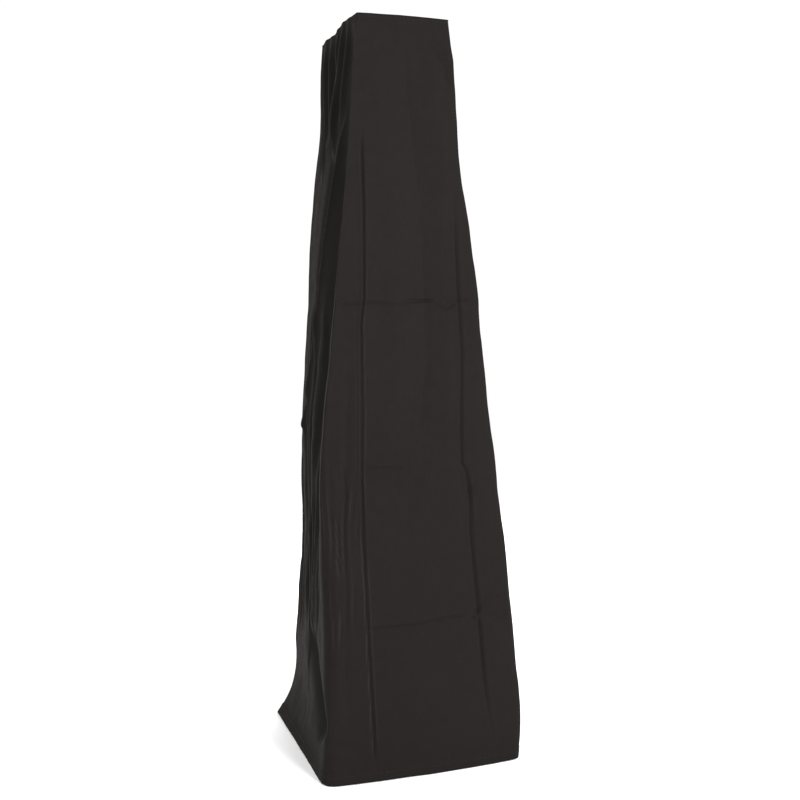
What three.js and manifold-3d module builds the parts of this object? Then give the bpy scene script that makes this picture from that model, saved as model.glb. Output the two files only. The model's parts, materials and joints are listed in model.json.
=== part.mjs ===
// A pyramid flame heater for a patio, standing under its fitted weather cover.
// Millimetres, +Z up, the front faces -Y, and the origin is on the ground under the middle of the heater.
import * as THREE from "three";
import { mergeVertices } from "three/addons/utils/BufferGeometryUtils.js";
import Module from "manifold-3d";

const wasm = await Module();
wasm.setup();

// ---------------------------------------------------------------- driving dimensions

const GAP = 0.4; // between pieces that touch
const SHEET = 1.5; // panels, hood and burner box
const PLATE = 2; // tray, deck and plates

// The cover: a tall four-sided bag with a square top and a square hem, cut in five panels.
const COVER_TOP = 2240;
const COVER_BASE_HALF = 308;
const COVER_TOP_HALF = 155;
const CLOTH = 2;
const HEM_CLOTH = 3;
const HEM_LOW = 4;
const HEM_HIGH = 32;

// The heater's square frame leans in evenly from the tray to the upper plate.
const TRAY_Z = 84;
const BASE_HALF = 250;
const UPPER_PLATE_Z = 2058;
const UPPER_HALF = 116;
const LEAN = (BASE_HALF - UPPER_HALF) / (UPPER_PLATE_Z - TRAY_Z);
const LEAN_ANGLE = Math.atan(LEAN);
const ANGLE_LEG = 26; // corner posts are angle section
const ANGLE_WALL = 2;

const TRAY_LIP = 30;
const TRAY_HALF = 245;
const DECK_Z = 784; // top of the gas cylinder's compartment
const BOX_TOP_Z = 868; // top of the burner box
const FACE_DEPTH = ANGLE_WALL + GAP; // panels and guards sit behind the posts' legs

const TUBE_R = 50;
const TUBE_WALL = 3;
const TUBE_LOW = 876;
const TUBE_HIGH = 2095;

const HOOD_HALF = 128;
const HOOD_LIP = 4;
const HOOD_LOW = 2180;
const HOOD_HIGH = 2236.5;

const WHEEL_R = 40;
const WHEEL_Y = 205;
const AXLE_R = 5;

const CYLINDER_R = 148;
const OUTLET_Z = 600; // the gas outlet of the cylinder's valve

// Controls, in a frame that lies on the burner box's front: x right, y inwards, z up the face.
const CONTROL_Z = 828;
const KNOB_X = -35;
const BUTTON_X = 45;

const half = (z) => BASE_HALF - LEAN * (z - TRAY_Z);
const coverHalf = (z) =>
  COVER_BASE_HALF - ((COVER_BASE_HALF - COVER_TOP_HALF) * z) / COVER_TOP;

// ---------------------------------------------------------------- materials

const finish = (color, roughness, metalness) =>
  new THREE.MeshStandardMaterial({ color, roughness, metalness });
const FABRIC = finish(0x2f2c2a, 0.85, 0);
const BLACK_STEEL = finish(0x1c1c1d, 0.55, 0.4);
const STAINLESS = finish(0xb9babb, 0.3, 1);
const GALVANISED = finish(0x8d9092, 0.45, 0.9);
const CHROME_WIRE = finish(0xc8c9cb, 0.2, 1);
const GLASS = finish(0xdfe8ea, 0.05, 0);
const BRASS = finish(0xb58a3c, 0.35, 1);
const RUBBER = finish(0x161616, 0.9, 0);
const SILICONE = finish(0x2a2a2c, 0.7, 0);
const BLACK_PLASTIC = finish(0x141415, 0.45, 0);
const RED_PLASTIC = finish(0xa3231c, 0.4, 0);
const CYLINDER_PAINT = finish(0x6f7a80, 0.4, 0.3);
const CERAMIC = finish(0xe8e4da, 0.5, 0);
GLASS.transparent = true;
GLASS.opacity = 0.35;

// ---------------------------------------------------------------- solids

function solid(geometry) {
  const bare = new THREE.BufferGeometry();
  bare.setAttribute("position", geometry.getAttribute("position"));
  if (geometry.index) bare.setIndex(geometry.index);
  const merged = mergeVertices(bare, 1e-3);
  return new wasm.Manifold(
    new wasm.Mesh({
      numProp: 3,
      vertProperties: new Float32Array(merged.attributes.position.array),
      triVerts: new Uint32Array(merged.index.array),
    }),
  );
}

function geometryOf(made) {
  const mesh = made.getMesh();
  const geometry = new THREE.BufferGeometry();
  const points = new THREE.BufferAttribute(new Float32Array(mesh.vertProperties), 3);
  geometry.setAttribute("position", points);
  geometry.setIndex(new THREE.BufferAttribute(new Uint32Array(mesh.triVerts), 1));
  geometry.computeVertexNormals();
  return geometry;
}

const join = (...geometries) =>
  geometryOf(geometries.map(solid).reduce((a, b) => a.add(b)));

const cut = (geometry, ...tools) =>
  geometryOf(tools.map(solid).reduce((a, b) => a.subtract(b), solid(geometry)));

// A closed solid between two outlines of [x, y], one at each height, both anticlockwise from above.
function loft(lower, z0, upper, z1) {
  const count = lower.length;
  const points = [
    ...lower.flatMap(([x, y]) => [x, y, z0]),
    ...upper.flatMap(([x, y]) => [x, y, z1]),
  ];
  const index = [];
  for (let i = 0; i < count; i++) {
    const j = (i + 1) % count;
    index.push(i, j, count + j, i, count + j, count + i);
  }
  const outline = lower.map(([x, y]) => new THREE.Vector2(x, y));
  for (const [a, b, c] of THREE.ShapeUtils.triangulateShape(outline, [])) {
    index.push(c, b, a, count + a, count + b, count + c);
  }
  const geometry = new THREE.BufferGeometry();
  geometry.setAttribute("position", new THREE.Float32BufferAttribute(points, 3));
  geometry.setIndex(index);
  geometry.computeVertexNormals();
  return geometry;
}

const rectangle = (x0, x1, y0, y1) => [
  [x0, y0],
  [x1, y0],
  [x1, y1],
  [x0, y1],
];

const square = (reach) => rectangle(-reach, reach, -reach, reach);

const block = (x0, x1, y0, y1, z0, z1) =>
  loft(rectangle(x0, x1, y0, y1), z0, rectangle(x0, x1, y0, y1), z1);

// A profile of [radius, z], anticlockwise, turned about the Z axis.
function turned(profile, segments = 24) {
  const points = profile.map(([r, z]) => new THREE.Vector2(r, z));
  return new THREE.LatheGeometry(points, segments).rotateX(Math.PI / 2);
}

function ring(inner, outer, z0, z1, segments = 24) {
  const profile = [
    [outer, z0],
    [outer, z1],
    [inner, z1],
    [inner, z0],
    [outer, z0],
  ];
  return turned(profile, segments);
}

function rod(from, to, radius, sides = 12) {
  const a = new THREE.Vector3(...from);
  const b = new THREE.Vector3(...to);
  const geometry = new THREE.CylinderGeometry(radius, radius, a.distanceTo(b), sides);
  const along = b.clone().sub(a).normalize();
  const turn = new THREE.Quaternion().setFromUnitVectors(
    new THREE.Vector3(0, 1, 0),
    along,
  );
  const middle = a.add(b).multiplyScalar(0.5);
  return geometry.applyQuaternion(turn).translate(middle.x, middle.y, middle.z);
}

function circleOutline(radius, sides) {
  const turnOf = (i) => (2 * Math.PI * i) / sides;
  return Array.from(
    { length: sides },
    (_, i) => new THREE.Vector2(radius * Math.cos(turnOf(i)), radius * Math.sin(turnOf(i))),
  );
}

function pipe(points, radius, sides, steps) {
  const curve = new THREE.CatmullRomCurve3(points.map((p) => new THREE.Vector3(...p)));
  return new THREE.ExtrudeGeometry(new THREE.Shape(circleOutline(radius, sides)), {
    steps,
    extrudePath: curve,
  });
}

// ---------------------------------------------------------------- assembly

const heater = new THREE.Group();

function add(name, geometry, material, parent = heater) {
  const mesh = new THREE.Mesh(geometry, material);
  mesh.name = name;
  parent.add(mesh);
  return mesh;
}

// The front side's copy of a shape, turned onto one of the four sides.
const QUARTER = { front: 0, right: 1, back: 2, left: 3 };
const onSide = (geometry, side) =>
  geometry.clone().rotateZ((QUARTER[side] * Math.PI) / 2);

// A flat leaning sheet on the front side, depth behind the frame's face and inset from its corners.
function wall(z0, z1, inset, depth, thickness) {
  const section = (z) => {
    const reach = half(z) - inset;
    const face = -(half(z) - depth);
    return rectangle(-reach, reach, face, face + thickness);
  };
  return loft(section(z0), z0, section(z1), z1);
}

function cornerPost(sx, sy, z0, z1) {
  const section = (z) => {
    const outer = half(z);
    const inner = outer - ANGLE_WALL;
    const tip = outer - ANGLE_LEG;
    const outline = [
      [outer, outer],
      [tip, outer],
      [tip, inner],
      [inner, inner],
      [inner, tip],
      [outer, tip],
    ].map(([x, y]) => [sx * x, sy * y]);
    return sx * sy > 0 ? outline : outline.reverse();
  };
  return loft(section(z0), z0, section(z1), z1);
}

const CORNERS = {
  front_left: [-1, -1],
  front_right: [1, -1],
  back_left: [-1, 1],
  back_right: [1, 1],
};

function buildPosts() {
  for (const [corner, [sx, sy]] of Object.entries(CORNERS)) {
    add(`lower_post_${corner}`, cornerPost(sx, sy, TRAY_Z, DECK_Z), BLACK_STEEL);
    const upper = cornerPost(
      sx,
      sy,
      BOX_TOP_Z + PLATE + 2 * GAP,
      UPPER_PLATE_Z - GAP,
    );
    add(`upper_post_${corner}`, upper, BLACK_STEEL);
  }
}

// ---------------------------------------------------------------- base, wheels and feet

const TRAY_VENT_R = 14;
const TRAY_VENT_AT = 205;

function buildTray() {
  const outer = block(
    -TRAY_HALF,
    TRAY_HALF,
    -TRAY_HALF,
    TRAY_HALF,
    TRAY_Z,
    TRAY_Z + TRAY_LIP,
  );
  const inside = TRAY_HALF - PLATE;
  const hollow = block(-inside, inside, -inside, inside, TRAY_Z + PLATE, TRAY_Z + 2 * TRAY_LIP);
  const vents = [
    [0, 1],
    [0, -1],
    [1, 0],
    [-1, 0],
  ].map(([x, y]) =>
    rod(
      [x * TRAY_VENT_AT, y * TRAY_VENT_AT, TRAY_Z - 5],
      [x * TRAY_VENT_AT, y * TRAY_VENT_AT, TRAY_Z + 5],
      TRAY_VENT_R,
    ),
  );
  add("base_tray", cut(outer, hollow, ...vents), BLACK_STEEL);
}

const EAR_X = 184;
const EAR_WALL = 2;
const CARRIER_HALF_Y = 15;
const UNDER_TRAY = TRAY_Z - GAP;

function buildWheels() {
  const plate = block(
    -EAR_X - EAR_WALL,
    EAR_X + EAR_WALL,
    WHEEL_Y - CARRIER_HALF_Y,
    WHEEL_Y + CARRIER_HALF_Y,
    UNDER_TRAY - PLATE,
    UNDER_TRAY,
  );
  const ears = [-1, 1].map((side) => {
    const faces = [side * EAR_X, side * (EAR_X + EAR_WALL)].sort((a, b) => a - b);
    return block(
      ...faces,
      WHEEL_Y - CARRIER_HALF_Y,
      WHEEL_Y + CARRIER_HALF_Y,
      WHEEL_R - CARRIER_HALF_Y,
      UNDER_TRAY,
    );
  });
  const bore = rod([-250, WHEEL_Y, WHEEL_R], [250, WHEEL_Y, WHEEL_R], AXLE_R + GAP, 16);
  add("axle_carrier", cut(join(plate, ...ears), bore), GALVANISED);

  const axleHalf = 222;
  const axle = rod([-axleHalf, WHEEL_Y, WHEEL_R], [axleHalf, WHEEL_Y, WHEEL_R], AXLE_R, 16);
  add("wheel_axle", axle, GALVANISED);

  // Tyre, recessed web and hub, as one moulded wheel.
  const wide = 11;
  const profile = [
    [AXLE_R + GAP, -wide],
    [13, -wide],
    [13, -4],
    [30, -4],
    [30, -wide],
    [37, -wide],
    [WHEEL_R, -wide + 3],
    [WHEEL_R, wide - 3],
    [37, wide],
    [30, wide],
    [30, 4],
    [13, 4],
    [13, wide],
    [AXLE_R + GAP, wide],
    [AXLE_R + GAP, -wide],
  ];
  const wheelX = EAR_X + EAR_WALL + wide + 3;
  for (const [name, side] of [
    ["wheel_left", -1],
    ["wheel_right", 1],
  ]) {
    const wheel = add(name, turned(profile, 28).rotateY(Math.PI / 2), RUBBER);
    wheel.position.set(side * wheelX, WHEEL_Y, WHEEL_R);
  }
}

const FOOT_X = 205;
const FOOT_Y = -213;
const FOOT_R = 18;
const FOOT_HIGH = 17.6;

function buildFeet() {
  const railEnd = FOOT_X + 20;
  const y0 = FOOT_Y - 15;
  const y1 = FOOT_Y + 15;
  const pieces = [block(-railEnd, railEnd, y0, y1, UNDER_TRAY - PLATE, UNDER_TRAY)];
  for (const side of [-1, 1]) {
    const leg = [side * railEnd, side * (railEnd - PLATE)].sort((a, b) => a - b);
    const sole = [side * railEnd, side * (railEnd - 40)].sort((a, b) => a - b);
    pieces.push(block(...leg, y0, y1, FOOT_HIGH + GAP, UNDER_TRAY));
    pieces.push(block(...sole, y0, y1, FOOT_HIGH + GAP, FOOT_HIGH + GAP + PLATE));
  }
  add("front_foot_rail", join(...pieces), GALVANISED);
  for (const [name, side] of [
    ["foot_pad_left", -1],
    ["foot_pad_right", 1],
  ]) {
    const pad = turned(
      [
        [0, 0],
        [FOOT_R, 0],
        [FOOT_R - 3, FOOT_HIGH],
        [0, FOOT_HIGH],
      ],
      20,
    );
    add(name, pad, RUBBER).position.set(side * FOOT_X, FOOT_Y, 0);
  }
}

// ---------------------------------------------------------------- cabinet

const PANEL_LOW = TRAY_Z + TRAY_LIP + 4;
const FRONT_PANEL_HIGH = DECK_Z - 20; // room to lift the panel off its tabs

// Rows of ventilation slots through a panel of the front side.
function ventSlots(heights) {
  const slots = [];
  for (const z of heights) {
    for (const x of [-90, 0, 90]) {
      slots.push(block(x - 35, x + 35, -half(z) - 20, -half(z) + 20, z - 3, z + 3));
    }
  }
  return slots;
}

function buildCabinet() {
  const panel = cut(
    wall(PANEL_LOW, DECK_Z - GAP, 5, FACE_DEPTH, SHEET),
    ...ventSlots([160, 180, 720, 740]),
  );
  for (const side of ["left", "right", "back"]) {
    add(`${side}_panel`, onSide(panel, side), BLACK_STEEL);
  }

  // The front panel stands on two tabs that drop behind the tray's lip.
  const lip = -(TRAY_HALF - PLATE);
  const tabs = [-120, 120].flatMap((x) => [
    block(x - 18, x + 18, lip + GAP, lip + GAP + 2, PANEL_LOW - 18, PANEL_LOW + 22),
    block(x - 18, x + 18, lip - 1.6, lip + GAP + 2, PANEL_LOW + 4, PANEL_LOW + 22),
  ]);
  const sheet = wall(PANEL_LOW, FRONT_PANEL_HIGH, 8, FACE_DEPTH, SHEET);
  const front = cut(join(sheet, ...tabs), ...ventSlots([160, 180]));
  add("front_panel", front, BLACK_STEEL);

  const handleZ = 700;
  const seat = new THREE.Group();
  seat.position.set(0, -(half(handleZ) - FACE_DEPTH), handleZ);
  seat.rotation.x = -LEAN_ANGLE;
  heater.add(seat);
  const grip = join(
    rod([-60, -20, 0], [60, -20, 0], 5),
    rod([-50, -20, 0], [-50, -GAP, 0], 4),
    rod([50, -20, 0], [50, -GAP, 0], 4),
  );
  add("front_panel_handle", grip, STAINLESS, seat);

  const hoseHole = rod([HOSE_TOP[0], HOSE_TOP[1], DECK_Z - 5], [HOSE_TOP[0], HOSE_TOP[1], DECK_Z + 9], 12);
  const airHole = rod([0, 0, DECK_Z - 5], [0, 0, DECK_Z + 9], 30, 20);
  const edge = half(DECK_Z);
  const deck = block(-edge, edge, -edge, edge, DECK_Z + GAP, DECK_Z + GAP + PLATE);
  add("burner_deck", cut(deck, hoseHole, airHole), BLACK_STEEL);
}

// ---------------------------------------------------------------- burner box and controls

const BOX_LOW = DECK_Z + PLATE + 2 * GAP;
const TUBE_PLATE_Z = BOX_TOP_Z + GAP;
const VALVE_DEPTH = 44;
const VALVE_FACE = 6;

// The frame of the controls, as a group that lies on the burner box's front.
function controlFrame() {
  const frame = new THREE.Group();
  frame.position.set(0, -half(CONTROL_Z), CONTROL_Z);
  frame.rotation.x = -LEAN_ANGLE;
  frame.updateMatrix();
  return frame;
}

const controls = controlFrame();
const fromControls = (x, y, z) =>
  new THREE.Vector3(x, y, z).applyMatrix4(controls.matrix).toArray();
const HOSE_TOP = fromControls(-74, 30, -25);

// A profile of [radius, distance outwards] turned about an axis that points out of the front.
const turnedOutwards = (profile, segments) =>
  turned(profile, segments).rotateX(Math.PI / 2);

function buildBurnerBox() {
  const level = (z, inset) => [square(half(z) - inset), z];
  const outer = loft(...level(BOX_LOW, 0), ...level(BOX_TOP_Z, 0));
  const hollow = loft(...level(BOX_LOW - 10, SHEET), ...level(BOX_TOP_Z + 10, SHEET));
  const holes = [
    rod(fromControls(KNOB_X, -10, 0), fromControls(KNOB_X, 10, 0), 8),
    rod(fromControls(BUTTON_X, -10, 0), fromControls(BUTTON_X, 10, 0), 10.5, 16),
  ];
  add("burner_box", cut(outer, hollow, ...holes), BLACK_STEEL);

  const edge = half(BOX_TOP_Z);
  const plate = block(-edge, edge, -edge, edge, TUBE_PLATE_Z, TUBE_PLATE_Z + PLATE);
  const throat = rod([0, 0, TUBE_PLATE_Z - 5], [0, 0, TUBE_PLATE_Z + 9], 46, 32);
  add("tube_plate", cut(plate, throat), BLACK_STEEL);
}

function buildControls() {
  heater.add(controls);
  const fascia = cut(
    block(-80, 80, -2 - GAP, -GAP, -31, 31),
    rod([KNOB_X, -9, 0], [KNOB_X, 9, 0], 8),
    rod([BUTTON_X, -9, 0], [BUTTON_X, 9, 0], 10.5, 16),
  );
  add("control_fascia", fascia, STAINLESS, controls);

  const valveBack = VALVE_FACE + VALVE_DEPTH;
  const valve = cut(
    join(
      block(KNOB_X - 20, KNOB_X + 20, VALVE_FACE, valveBack, -20, 20),
      rod([KNOB_X, valveBack - 4, 0], [KNOB_X, valveBack + 8, 0], 8),
    ),
    rod([KNOB_X, VALVE_FACE - 5, 0], [KNOB_X, VALVE_FACE + 14, 0], 5),
  );
  add("gas_valve", valve, BRASS, controls);
  const stem = rod([KNOB_X, VALVE_FACE + 5, 0], [KNOB_X, -19, 0], 4, 12);
  add("valve_stem", stem, STAINLESS, controls);

  // The knob's skirt, grip and blind bore, with a raised pointer rib across its face.
  const body = turnedOutwards(
    [
      [0, 19.6],
      [4.4, 19.6],
      [4.4, 8],
      [25, 8],
      [25, 12],
      [18, 15],
      [17, 27],
      [0, 27],
    ],
    28,
  );
  const rib = block(-2.5, 2.5, -30, -24, -17, 17);
  const knob = join(body, rib);
  add("control_knob", knob, BLACK_PLASTIC, controls).position.x = KNOB_X;

  const igniter = turnedOutwards(
    [
      [0, -48],
      [10, -48],
      [10, -2.2],
      [7.6, -2.2],
      [7.6, -24],
      [0, -24],
    ],
    20,
  );
  add("igniter_body", igniter, BLACK_PLASTIC, controls).position.x = BUTTON_X;
  const button = turnedOutwards(
    [
      [0, -10],
      [7, -10],
      [7, 9],
      [9.5, 9],
      [9.5, 12],
      [8, 13.5],
      [0, 13.5],
    ],
    20,
  );
  add("igniter_button", button, RED_PLASTIC, controls).position.x = BUTTON_X;

  const left = KNOB_X - 20 - GAP;
  const tilt = join(
    block(left - 37, left, 15, 45, -15, 15),
    rod([-74, 30, -24], [-74, 30, -10], 6),
  );
  add("tilt_switch", tilt, BLACK_PLASTIC, controls);
}

function buildBurner() {
  const can = turned([
    [9, 806],
    [12, 806],
    [12, 826],
    [34, 850],
    [34, 892],
    [32, 892],
    [32, 851],
    [9, 826.5],
    [9, 806],
  ]);
  add("burner_can", can, STAINLESS);
  const screen = turned([
    [0, 888],
    [31.5, 888],
    [31.5, 890],
    [0, 890],
  ]);
  add("burner_screen", screen, STAINLESS);

  const pilotX = 40;
  const bracket = cut(
    join(
      block(34.6, 46, -14, 14, 858, 860),
      rod([pilotX, 0, 832], [pilotX, 0, 878], 2.6),
      block(pilotX - 4, pilotX + 4, -3.5, 3.5, 872, 880),
    ),
    rod([pilotX, -8, 850], [pilotX, -8, 870], 2.8),
    rod([pilotX, 8, 850], [pilotX, 8, 870], 2.8),
  );
  add("pilot_burner", bracket, STAINLESS);
  add("spark_electrode", rod([pilotX, -8, 835], [pilotX, -8, 884], 2.4), CERAMIC);
  add("thermocouple", rod([pilotX, 8, 830], [pilotX, 8, 888], 2.2), BRASS);

  const outlet = fromControls(KNOB_X, VALVE_FACE + VALVE_DEPTH + 8 + GAP, 0);
  const [x, y, z] = outlet;
  const route = [
    outlet,
    [x, y + 30, z - 1],
    [x * 0.5, y + 85, z - 6],
    [0, -36, 815],
    [0, -12.6, 815],
  ];
  add("burner_gas_pipe", pipe(route, 4, 8, 24), BRASS);
}

// ---------------------------------------------------------------- flame tube, guards and hood

function buildFlameTube() {
  const tube = ring(TUBE_R - TUBE_WALL, TUBE_R, TUBE_LOW, TUBE_HIGH, 36);
  add("glass_tube", tube, GLASS);

  // A soft seat that the tube stands in, with a ledge under the glass.
  const seatLow = TUBE_PLATE_Z + PLATE + GAP;
  const seat = turned(
    [
      [45, seatLow],
      [60, seatLow],
      [60, seatLow + 6],
      [57, seatLow + 26],
      [TUBE_R + GAP, seatLow + 26],
      [TUBE_R + GAP, TUBE_LOW - GAP],
      [45, TUBE_LOW - GAP],
      [45, seatLow],
    ],
    36,
  );
  add("tube_seat", seat, SILICONE);

  const plateHigh = UPPER_PLATE_Z + PLATE;
  const plate = block(-UPPER_HALF, UPPER_HALF, -UPPER_HALF, UPPER_HALF, UPPER_PLATE_Z, plateHigh);
  const hole = rod([0, 0, UPPER_PLATE_Z - 9], [0, 0, plateHigh + 9], TUBE_R + 3, 32);
  add("upper_plate", cut(plate, hole), BLACK_STEEL);
  const collarLow = plateHigh + GAP;
  add("tube_collar", ring(TUBE_R + GAP, 61, collarLow, collarLow + 12, 36), STAINLESS);

  const screenLow = collarLow + 12 + GAP;
  add("flame_screen", ring(57, 58, screenLow, screenLow + 70, 32), STAINLESS);
}

const WIRE = 4;
const WIRE_PITCH = 64;

function buildGuards() {
  const low = TUBE_PLATE_Z + PLATE + 8;
  const high = UPPER_PLATE_Z - 8;
  const uprights = [-1, -1 / 3, 1 / 3, 1].map((share) => {
    const section = (z) => {
      const x = share * (half(z) - 8 - WIRE / 2);
      const face = -(half(z) - FACE_DEPTH);
      return rectangle(x - WIRE / 2, x + WIRE / 2, face, face + WIRE);
    };
    return loft(section(low), low, section(high), high);
  });
  const rungs = [];
  const count = Math.floor((high - low - 2 * WIRE) / WIRE_PITCH);
  for (let i = 0; i <= count; i++) {
    const z = low + WIRE + (i * (high - low - 2 * WIRE)) / count;
    rungs.push(wall(z - WIRE / 2, z + WIRE / 2, 8.5, FACE_DEPTH + 0.5, WIRE - 1));
  }
  const guard = join(...uprights, ...rungs);
  for (const side of Object.keys(QUARTER)) {
    add(`${side}_guard`, onSide(guard, side), CHROME_WIRE);
  }
}

function buildHood() {
  const prism = (reach, z0, z1) => loft(square(reach), z0, square(reach), z1);
  const shell = join(
    prism(HOOD_HALF, HOOD_LOW, HOOD_HIGH),
    prism(HOOD_HALF + HOOD_LIP, HOOD_LOW, HOOD_LOW + SHEET),
  );
  const inside = HOOD_HIGH - SHEET;
  const hollow = prism(HOOD_HALF - SHEET, HOOD_LOW - 10, inside);
  add("hood", cut(shell, hollow), STAINLESS);

  // Four legs on the upper plate carry a flat frame under the hood's top.
  const legAt = 98;
  const frameHigh = inside - GAP;
  const frameLow = frameHigh - 3;
  const frameOutside = prism(legAt + 20, frameLow, frameHigh);
  const frame = cut(frameOutside, prism(legAt - 8, frameLow - 10, frameHigh + 10));
  const legLow = UPPER_PLATE_Z + PLATE + GAP;
  const legs = Object.values(CORNERS).map(([sx, sy]) =>
    rod([sx * legAt, sy * legAt, legLow], [sx * legAt, sy * legAt, frameLow + 1], 5),
  );
  add("hood_stand", join(frame, ...legs), GALVANISED);
}

// ---------------------------------------------------------------- gas cylinder

const STEEL_WALL = 3;
const DOME_LOW_Z = 150;
const DOME_LOW_RISE = 40;
const DOME_HIGH_Z = 480;
const DOME_HIGH_RISE = 72;
const NECK_R = 18;
const NECK_HIGH = 562;

// Points of a dome's quarter ellipse, from one radius to another.
function dome(centre, rise, radius, from, to, steps) {
  const angleAt = (r) => Math.acos(r / radius);
  return Array.from({ length: steps + 1 }, (_, i) => {
    const angle = angleAt(from) + ((angleAt(to) - angleAt(from)) * i) / steps;
    return [radius * Math.cos(angle), centre + rise * Math.sin(angle)];
  });
}

function buildGasCylinder() {
  const r = CYLINDER_R;
  const inner = r - STEEL_WALL;
  const bore = NECK_R - 5;
  const profile = [
    [0, DOME_LOW_Z - DOME_LOW_RISE],
    ...dome(DOME_LOW_Z, -DOME_LOW_RISE, r, 20, r, 5),
    ...dome(DOME_HIGH_Z, DOME_HIGH_RISE, r, r, NECK_R, 6),
    [NECK_R, NECK_HIGH],
    [bore, NECK_HIGH],
    ...dome(DOME_HIGH_Z, DOME_HIGH_RISE - STEEL_WALL, inner, bore, inner, 4),
    ...dome(DOME_LOW_Z, STEEL_WALL - DOME_LOW_RISE, inner, inner, 20, 3),
    [0, DOME_LOW_Z - DOME_LOW_RISE + STEEL_WALL],
  ];
  const footRing = ring(110, 114, TRAY_Z + PLATE + GAP, 128, 32);
  add("gas_cylinder", join(turned(profile, 32), footRing), CYLINDER_PAINT);

  // The collar round the valve is open at the front, where the regulator sits.
  const open = (65 * Math.PI) / 180;
  const start = -Math.PI / 2 + open;
  const end = (3 * Math.PI) / 2 - open;
  const arc = new THREE.Shape();
  arc.absarc(0, 0, 98, start, end, false);
  arc.absarc(0, 0, 95, end, start, true);
  const collar = new THREE.ExtrudeGeometry(arc, {
    depth: 100,
    bevelEnabled: false,
    curveSegments: 20,
  });
  add("cylinder_collar", collar, CYLINDER_PAINT).position.z = 538;

  const valve = join(
    turned(
      [
        [0, NECK_HIGH + GAP],
        [16, NECK_HIGH + GAP],
        [16, NECK_HIGH + 12],
        [12, NECK_HIGH + 16],
        [12, 618],
        [0, 618],
      ],
      16,
    ),
    rod([0, 0, OUTLET_Z], [0, -29.6, OUTLET_Z], 10, 16),
  );
  add("cylinder_valve", valve, BRASS);

  const lobes = 6;
  const outline = Array.from({ length: lobes * 6 }, (_, i) => {
    const angle = (2 * Math.PI * i) / (lobes * 6);
    const reach = 27 + 2.5 * Math.cos(lobes * angle);
    return new THREE.Vector2(reach * Math.cos(angle), reach * Math.sin(angle));
  });
  const rim = new THREE.ExtrudeGeometry(new THREE.Shape(outline), {
    depth: 16,
    bevelEnabled: false,
  });
  const wheel = join(rim.translate(0, 0, 626), rod([0, 0, 618.6], [0, 0, 630], 6));
  add("cylinder_handwheel", wheel, BLACK_PLASTIC);

  const regulator = join(
    turned([
      [0, OUTLET_Z - 17],
      [24, OUTLET_Z - 17],
      [30, OUTLET_Z - 10],
      [30, OUTLET_Z + 8],
      [22, OUTLET_Z + 17],
      [0, OUTLET_Z + 17],
    ]).translate(0, -78, 0),
    rod([0, -30, OUTLET_Z], [0, -55, OUTLET_Z], 13, 6),
    rod([-25, -78, OUTLET_Z], [-42, -78, OUTLET_Z], 5),
  );
  add("gas_regulator", regulator, GALVANISED);
}

// The hose hangs in a loop in front of the cylinder, from the regulator up through the deck.
const HOSE_R = 6;
const HOSE_ROUTE = [
  [-42 - GAP, -78, OUTLET_Z],
  [-54, -78, OUTLET_Z],
  [-72, -86, OUTLET_Z - 3],
  [-101, -118, 575],
  [-117, -160, 515],
  [-104, -182, 448],
  [-68, -190, 415],
  [-32, -190, 448],
  [-20, -186, 520],
  [-26, -180, 600],
  [-52, -174, 690],
  [HOSE_TOP[0], HOSE_TOP[1], 765],
  HOSE_TOP,
];

// ---------------------------------------------------------------- cover

// The front panel's section at one height, its two ends drawn in by an inset.
function panelLevel(z, inset) {
  const reach = coverHalf(z) - inset;
  const face = -coverHalf(z);
  return [rectangle(-reach, reach, face, face + CLOTH), z];
}

function buildCover() {
  const low = HEM_HIGH + GAP;
  const high = COVER_TOP - CLOTH - GAP;
  const panel = loft(...panelLevel(low, 0), ...panelLevel(high, 0));
  const tuckedPanel = loft(
    ...panelLevel(low, CLOTH + GAP),
    ...panelLevel(high, CLOTH + GAP),
  );
  add("cover_front_panel", panel, FABRIC);
  add("cover_back_panel", onSide(panel, "back"), FABRIC);
  add("cover_left_panel", onSide(tuckedPanel, "left"), FABRIC);
  add("cover_right_panel", onSide(tuckedPanel, "right"), FABRIC);

  const top = square(COVER_TOP_HALF);
  add("cover_top_panel", loft(top, COVER_TOP - CLOTH, top, COVER_TOP), FABRIC);

  // The hem is the same cloth folded over and stitched down.
  const level = (z, inset) => [square(coverHalf(z) - inset), z];
  const outer = loft(...level(HEM_LOW, 0), ...level(HEM_HIGH, 0));
  const mouth = loft(...level(HEM_LOW - 10, HEM_CLOTH), ...level(HEM_HIGH + 10, HEM_CLOTH));
  add("cover_hem", cut(outer, mouth), FABRIC);
}

buildPosts();
buildTray();
buildWheels();
buildFeet();
buildCabinet();
buildBurnerBox();
buildControls();
buildBurner();
buildFlameTube();
buildGuards();
buildHood();
buildGasCylinder();
add("gas_hose", pipe(HOSE_ROUTE, HOSE_R, 8, 60), RUBBER);
buildCover();

export default heater;
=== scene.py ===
# The looks of a pyramid patio heater under its weather cover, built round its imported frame.
# Everything is in metres, in the frame's own axes: +Z up, the front faces -Y, the ground is at zero.
import json
import math

import bpy
import numpy as np
from mathutils import Euler, Matrix, Vector


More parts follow.
